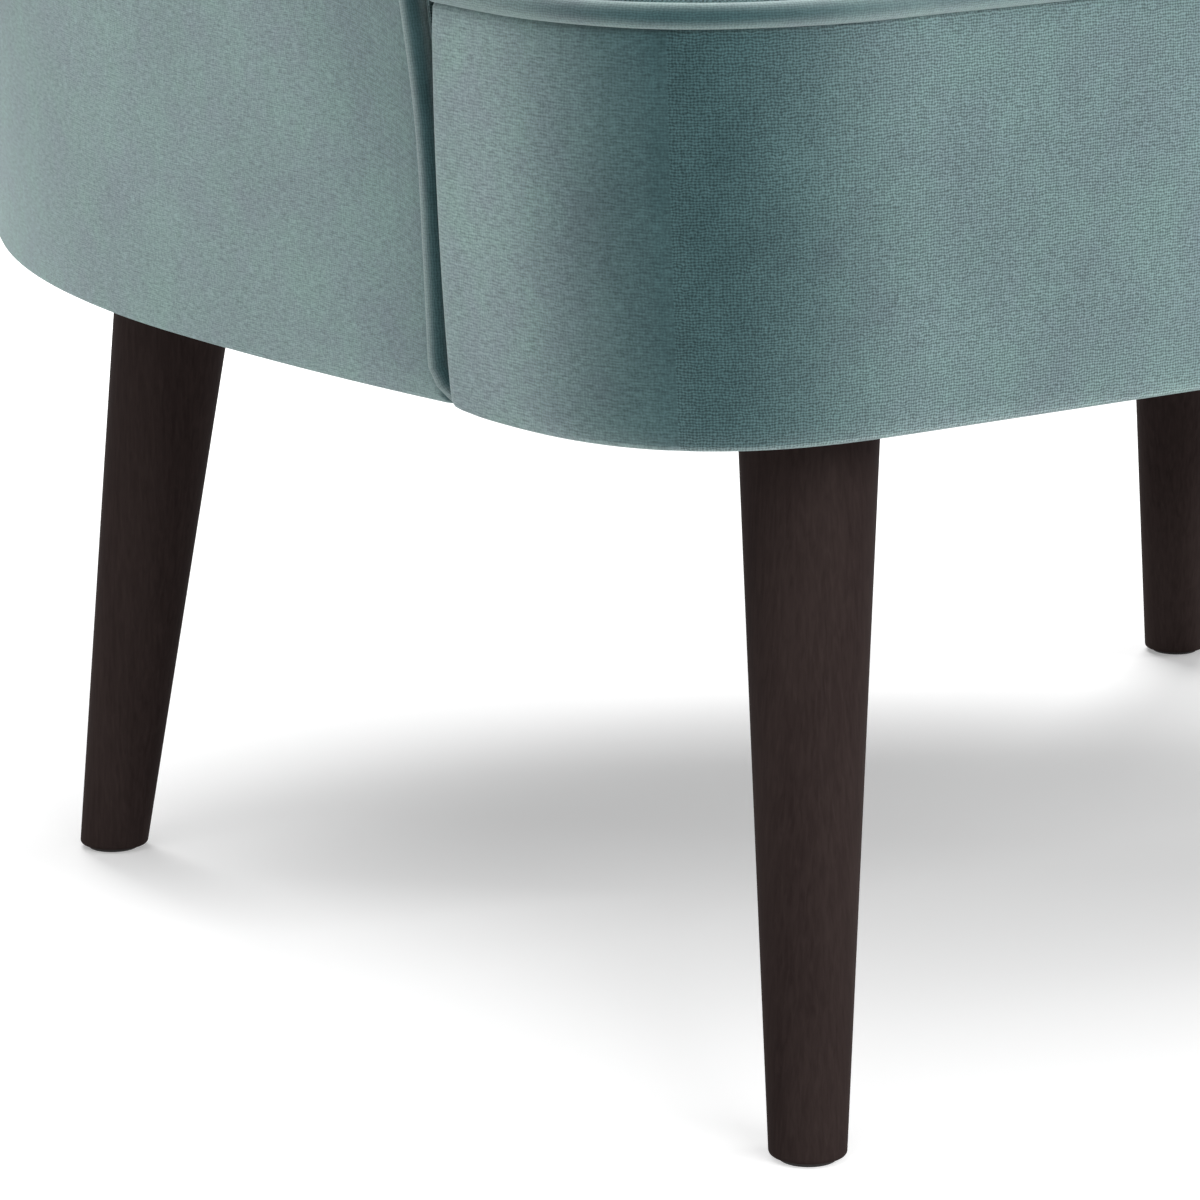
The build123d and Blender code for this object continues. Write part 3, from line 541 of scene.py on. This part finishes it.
def node_maker(tree):
    """Function that adds a node to a tree, with its inputs by name or number and its settings."""
    def node(kind, inputs=None, **settings):
        new = tree.nodes.new(kind)
        for key, value in settings.items():
            setattr(new, key, value)
        for key, value in (inputs or {}).items():
            put(tree, new.inputs[key], value)
        return new
    return node


def material(name):
    """New material, the function that adds its nodes, and the one that feeds its shader."""
    made = bpy.data.materials.new(name)
    made.use_nodes = True
    tree = made.node_tree
    shader = tree.nodes["Principled BSDF"]

    def feed(socket, value):
        put(tree, shader.inputs[socket], value)

    return made, node_maker(tree), feed


def linear(r, g, b):
    """A screen colour of 0 to 255 as the shader's linear colour."""
    def one(c):
        c /= 255
        return c / 12.92 if c <= 0.04045 else ((c + 0.055) / 1.055) ** 2.4
    return one(r), one(g), one(b), 1.0


def grey(value):
    return value, value, value, 1.0


def maths(node, operation, first, second):
    return node("ShaderNodeMath", {0: first, 1: second}, operation=operation).outputs[0]


def mapped(node, value, start, end, low=0.0, high=1.0, kind="LINEAR"):
    """A value taken from start and end to low and high, and kept between them."""
    limits = {"Value": value, "From Min": start, "From Max": end, "To Min": low, "To Max": high}
    return node("ShaderNodeMapRange", limits, interpolation_type=kind).outputs[0]


def noise(node, place, scale, detail, rough=0.5, distortion=0.0, output="Fac"):
    sockets = {"Vector": place, "Scale": scale, "Detail": detail}
    sockets.update({"Roughness": rough, "Distortion": distortion})
    return node("ShaderNodeTexNoise", sockets).outputs[output]


def relief(node, height, strength, distance):
    sockets = {"Height": height, "Strength": strength, "Distance": distance}
    return node("ShaderNodeBump", sockets).outputs["Normal"]


def ramp(node, fac, low, high, start=0.0, end=1.0):
    made = node("ShaderNodeValToRGB", {"Fac": fac})
    made.color_ramp.elements[0].position, made.color_ramp.elements[0].color = start, low
    made.color_ramp.elements[1].position, made.color_ramp.elements[1].color = end, high
    return made.outputs["Color"]


def velvet(name, sheen_colours, sheen_curve, grain, combed=0.0, period=0.98):
    """Short pile velvet: cloudy brushed patches, an uneven plain weave, and a painted sheen that lightens its
    colour as the surface turns away from the view.

    The yarns lie one period apart, in millimetres. Where the pile is combed along the cloth, streaks
    hide the weave.
    """
    made, node, feed = material(name)

    def shared(first, second, share):
        rest = maths(node, "MULTIPLY", second, 1 - share)
        return maths(node, "ADD", maths(node, "MULTIPLY", first, share), rest)

    def vectors(operation, first, second):
        return node("ShaderNodeVectorMath", {0: first, 1: second}, operation=operation).outputs[0]

    def wave(place, scale, way):
        made = node("ShaderNodeTexWave", {"Vector": place, "Scale": scale}, bands_direction=way)
        return made.outputs["Fac"]

    def blended(kind, amount, first, second):
        inputs = {0: amount, 6: first, 7: second}
        return node("ShaderNodeMix", inputs, data_type="RGBA", blend_type=kind).outputs[2]

    flat = node("ShaderNodeTexCoord").outputs["UV"]
    place = node("ShaderNodeTexCoord").outputs["Object"]
    cloud = noise(node, place, 38.0, 6.0, 0.68)
    patches = noise(node, place, 11.0, 4.0, 0.55)
    tone = shared(cloud, patches, 0.55)
    shade = ramp(node, tone, VELVET_DARK, VELVET_LIGHT, 0.34, 0.66)
    brushed = ramp(node, tone, grey(0.91), grey(1.09), 0.34, 0.66)
    jitter = noise(node, flat, 330.0, 3.0, output="Color")
    yarns = vectors("ADD", flat, vectors("MULTIPLY", jitter, (0.0022, 0.0018, 0.0)))
    scale = 2 * math.pi / 20 / (period * MM)  # at scale 1, a wave is 2 pi / 20 long
    weave = shared(wave(yarns, scale * 0.9, "X"), wave(yarns, scale, "Y"), 0.4)
    drawn = node("ShaderNodeMapping", {"Vector": flat, "Scale": (0.2, 1.0, 1.0)}).outputs[0]
    streaks = mapped(node, noise(node, drawn, 1150.0, 2.0), 0.3, 0.7)
    fuzz = mapped(node, noise(node, place, 900.0, 3.0), 0.25, 0.75)
    pile = shared(shared(weave, streaks, 1 - combed), fuzz, 0.62)
    yarn = ramp(node, pile, grey(1 - grain), grey(1 + grain), 0.22, 0.78)
    feed("Normal", relief(node, pile, 0.4, 0.0004))
    # Painted sheen: the base colour goes from the cloud tone, where the surface faces the view, to the pale
    # sheen colours where it turns away
    edge = node("ShaderNodeLayerWeight", {"Blend": 0.5}).outputs["Facing"]
    turned = node("ShaderNodeValToRGB", {"Fac": edge})
    turned.color_ramp.interpolation = "B_SPLINE"
    stops = turned.color_ramp.elements
    for place_on, value in sheen_curve[1:-1]:
        stops.new(place_on)
    for stop, (place_on, value) in zip(stops, sheen_curve):
        stop.position, stop.color = place_on, grey(value)
    with_painted_sheen = blended("MIX", turned.outputs["Color"], shade, ramp(node, cloud, *sheen_colours, 0.36, 0.64))
    feed("Base Color", blended("MULTIPLY", 1.0, blended("MULTIPLY", 1.0, with_painted_sheen, brushed), yarn))
    feed("Roughness", 0.9)
    feed("Specular IOR Level", 0.08)
    feed("Sheen Weight", 0.35)
    feed("Sheen Roughness", 0.45)
    feed("Sheen Tint", (0.84, 0.96, 0.96, 1.0))
    return made


def wood(name, dark, light, rough, scale, fine=260.0, bump=0.15, gloss=0.16):
    """Wood with fine grain, drawn out along the axis whose scale is small."""
    made, node, feed = material(name)
    place = node("ShaderNodeTexCoord").outputs["Object"]
    long = node("ShaderNodeMapping", {"Vector": place, "Scale": scale}).outputs[0]
    grain = noise(node, long, fine, 6.0, 0.6, 0.6)
    band = noise(node, long, 45.0, 3.0)
    both = maths(node, "MULTIPLY", maths(node, "ADD", grain, band), 0.5)
    feed("Base Color", ramp(node, both, dark, light, 0.36, 0.66))
    feed("Roughness", ramp(node, grain, grey(rough - 0.06), grey(rough + 0.08), 0.3, 0.7))
    feed("Normal", relief(node, grain, bump, 0.0004))
    feed("Specular IOR Level", gloss)
    return made


def speckled(name, dark, light, scale, rough, metal=0.0, bump=0.2, stretch=(1, 1, 1)):
    """Plain stuff with a fine random grain: fibre, felt, webbing, metal or plastic."""
    made, node, feed = material(name)
    place = node("ShaderNodeTexCoord").outputs["Object"]
    long = node("ShaderNodeMapping", {"Vector": place, "Scale": stretch}).outputs[0]
    grain = noise(node, long, scale, 5.0, 0.65)
    feed("Base Color", ramp(node, grain, dark, light, 0.32, 0.68))
    feed("Roughness", ramp(node, grain, grey(rough - 0.08), grey(rough + 0.08), 0.3, 0.7))
    feed("Metallic", metal)
    feed("Normal", relief(node, grain, bump, 0.0005))
    return made


VELVET_DARK, VELVET_LIGHT = linear(58, 84, 87), linear(69, 95, 98)
# Painted sheen: pale colours that the velvet's colour shifts to as the surface turns from the view, along the
# curve below; the two differ at random in hue
VELVET_PAINTED_SHEEN = linear(157, 174, 178), linear(152, 177, 173)
PAINTED_SHEEN_CURVE = ((0.0, 0.0), (0.05, 0.03), (0.15, 0.18), (0.3, 0.49), (0.45, 0.93), (1.0, 1.0))
# Painted highlight on the piping: paler sheen colours than the cloth's, on a curve of its own
PIPING_PAINTED_HIGHLIGHT = linear(158, 173, 176), linear(155, 176, 173)
PIPING_HIGHLIGHT_CURVE = ((0.0, 0.0), (0.05, 0.0), (0.15, 0.16), (0.3, 0.42), (0.5, 0.76), (1.0, 1.0))
cloth = velvet("teal_velvet", VELVET_PAINTED_SHEEN, PAINTED_SHEEN_CURVE, grain=0.47)
napped = velvet("teal_velvet_combed", VELVET_PAINTED_SHEEN, PAINTED_SHEEN_CURVE, grain=0.33, combed=0.5)
piping = velvet("teal_velvet_piping", PIPING_PAINTED_HIGHLIGHT, PIPING_HIGHLIGHT_CURVE, grain=0.22, period=0.9)
STAIN = linear(45, 36, 35), linear(61, 51, 49)
stained = wood("espresso_stained_wood", *STAIN, 0.7, (1.0, 1.0, 0.12), fine=700.0, gloss=0.02)
pale = wood("frame_wood", linear(176, 140, 98), linear(206, 174, 130), 0.7, (0.05, 1.0, 1.0))
ZINC = linear(150, 152, 155), linear(190, 192, 196)
steel = speckled("zinc_steel", *ZINC, 300.0, 0.38, metal=1.0, bump=0.05)
foam = speckled("foam", linear(214, 202, 160), linear(236, 228, 196), 700.0, 0.95)
felt = speckled("insulator_felt", linear(96, 98, 104), linear(170, 168, 164), 420.0, 0.98)
webbing = speckled("webbing", linear(60, 56, 52), linear(128, 116, 98), 600.0, 0.85, stretch=(1, 1, 4))
board = speckled("fibreboard", linear(126, 96, 66), linear(164, 132, 96), 500.0, 0.8)
black_cloth = speckled("dust_cloth_black", linear(22, 22, 24), linear(44, 44, 47), 900.0, 0.92, bump=0.35)
nylon = speckled("glide_nylon", linear(30, 28, 27), linear(46, 43, 41), 500.0, 0.5, bump=0.05)
BY_SLOT = {
    "velvet": cloth, "velvet_welt": piping, "stained_wood": stained, "frame_wood": pale,
    "steel": steel, "foam": foam, "felt": felt, "webbing": webbing, "fibreboard": board,
    "dust_cloth": black_cloth, "nylon": nylon,
}
SLOT_OF = {row["node"]: row["material_slot"] for row in frame["record"]["subparts"]}
for name, shown in frame["nodes"].items():
    finish = BY_SLOT.get(SLOT_OF.get(name), pale)
    shown.data.materials.clear()
    shown.data.materials.append(finish)

# The pieces: slot, material, and the nodes each stands for; all ride on the root
PIECES = (
    (outside, "velvet", napped, ("outside_cover",)),
    (left_inside, "velvet", cloth, ("left_inside_arm_cover", "left_arm_padding")),
    (right_inside, "velvet", cloth, ("right_inside_arm_cover", "right_arm_padding")),
    (back_inside, "velvet", cloth, ("inside_back_cover", "back_padding", "rim_padding")),
    (seat, "velvet", cloth, ("seat_top_cover", "seat_foam")),
    (border, "velvet", cloth, ("seat_border_cover", "nose_padding")),
    (shell_welt, "velvet_welt", piping, ("shell_welt",)),
    (seat_welt, "velvet_welt", piping, ("seat_welt",)),
    (dust, "dust_cloth", black_cloth, ("dust_cover",)),
)
for piece, slot, finish, nodes in PIECES:
    piece.data.materials.append(finish)
    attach(piece, "root")
    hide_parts(*nodes)
border.data.materials.append(napped)


# Floor, light and camera
FLOOR_HALF = 14.0
# Painted light on the floor grows along these directions
FRONT_WAY, LEFT_WAY = (-0.7, -0.7, 0.0), (-0.815, 0.579, 0.0)  # on the floor, to the picture's front and left


def seen(node):
    """1 on rays from the camera, also by way of gloss or glass."""
    rays = node("ShaderNodeLightPath").outputs
    direct = maths(node, "MAXIMUM", rays["Is Camera Ray"], rays["Is Glossy Ray"])
    return maths(node, "MAXIMUM", direct, rays["Is Transmission Ray"])


def floor():
    """White floor that shows the shadow under the chair, with painted light that lightens the shadow along
    FRONT_WAY and more where it also reaches along LEFT_WAY; further off it glows white; clear from below.
    """
    low, high = -FLOOR_HALF, FLOOR_HALF
    mesh = bpy.data.meshes.new("floor")
    mesh.from_pydata([(low, low, 0), (high, low, 0), (high, high, 0), (low, high, 0)], [], [(0, 1, 2, 3)])
    plane = bpy.data.objects.new("floor", mesh)
    bpy.context.collection.objects.link(plane)
    made, node = material("studio_floor")[:2]
    nodes, links = made.node_tree.nodes, made.node_tree.links
    plain = node("ShaderNodeBsdfDiffuse", {"Color": grey(0.8)}).outputs[0]
    place = node("ShaderNodeTexCoord").outputs["Object"]

    def towards(way, start, end, most):
        """Painted light: glow that grows along a direction."""
        ahead = node("ShaderNodeVectorMath", {0: place, 1: way}, operation="DOT_PRODUCT").outputs["Value"]
        return mapped(node, ahead, start, end, 0.0, most)

    away = node("ShaderNodeVectorMath", {0: place}, operation="LENGTH").outputs["Value"]
    far = mapped(node, away, 0.6, 1.6, 0.28, 1.0, "SMOOTHSTEP")
    # Painted light: glow that lightens the shadow along FRONT_WAY, and more where it also reaches along
    # LEFT_WAY
    front = towards(FRONT_WAY, 0.06, 0.4, 0.28)
    corner = maths(node, "MINIMUM", towards(FRONT_WAY, 0.15, 0.23, 0.16), towards(LEFT_WAY, 0.06, 0.2, 0.16))
    glow = maths(node, "ADD", far, maths(node, "ADD", front, corner))
    white = node("ShaderNodeEmission", {"Strength": glow}).outputs[0]
    both = node("ShaderNodeAddShader", {0: plain, 1: white}).outputs[0]
    above = node("ShaderNodeMixShader", {0: seen(node), 1: plain, 2: both}).outputs[0]
    clear = node("ShaderNodeBsdfTransparent").outputs[0]
    below = node("ShaderNodeNewGeometry").outputs["Backfacing"]
    surface = node("ShaderNodeMixShader", {0: below, 1: above, 2: clear}).outputs[0]
    links.new(surface, nodes["Material Output"].inputs["Surface"])
    nodes.remove(nodes["Principled BSDF"])
    mesh.materials.append(made)


def world(light, shown):
    """Even light from all round, and the white that the camera sees in its place."""
    made = bpy.data.worlds.new("studio")
    bpy.context.scene.world = made
    made.use_nodes = True
    made.node_tree.nodes.clear()
    node = node_maker(made.node_tree)
    dim = node("ShaderNodeBackground", {"Color": grey(1.0), "Strength": light}).outputs[0]
    white = node("ShaderNodeBackground", {"Color": grey(1.0), "Strength": shown}).outputs[0]
    mixed = node("ShaderNodeMixShader", {0: seen(node), 1: dim, 2: white}).outputs[0]
    node("ShaderNodeOutputWorld", {"Surface": mixed})


def softbox(name, place, target, width, height, power):
    lamp = bpy.data.lights.new(name, "AREA")
    lamp.shape = "RECTANGLE"
    lamp.size, lamp.size_y, lamp.energy = width, height, power
    made = bpy.data.objects.new(name, lamp)
    bpy.context.collection.objects.link(made)
    made.location = place
    made.rotation_mode = "QUATERNION"
    made.rotation_quaternion = (Vector(target) - Vector(place)).to_track_quat("-Z", "Y")


floor()
world(light=0.38, shown=1.0)
AIM = (0.0, -0.05, 0.3)
softbox("back_light", (1.0, 1.8, 2.5), AIM, width=2.4, height=0.9, power=92)
softbox("front_light", (-0.15, -2.7, 1.7), AIM, width=2.2, height=1.2, power=39)
softbox("left_light", (-1.6, -0.8, 2.3), AIM, width=1.8, height=1.2, power=13)
softbox("right_light", (2.4, -1.4, 1.0), AIM, width=1.2, height=1.6, power=25)

# Camera as fitted to the feet in the photo: its place, its direction in plan and its tilt
EYE_PLACE, EYE_WAY, EYE_DOWN = (-1.4255, -1.8541, 0.6443), (0.5794, 0.8150), math.radians(13.586)
camera = bpy.data.cameras.new("camera")
camera.lens, camera.sensor_width = 180.0, 36.0
camera.clip_start, camera.clip_end = 0.05, 60.0
eye = bpy.data.objects.new("camera", camera)
bpy.context.collection.objects.link(eye)
eye.location = EYE_PLACE
level = math.cos(EYE_DOWN)
look = Vector((EYE_WAY[0] * level, EYE_WAY[1] * level, -math.sin(EYE_DOWN)))
eye.rotation_mode = "QUATERNION"
eye.rotation_quaternion = look.to_track_quat("-Z", "Y")
scene = bpy.context.scene
scene.camera = eye
scene.view_settings.view_transform = "Standard"
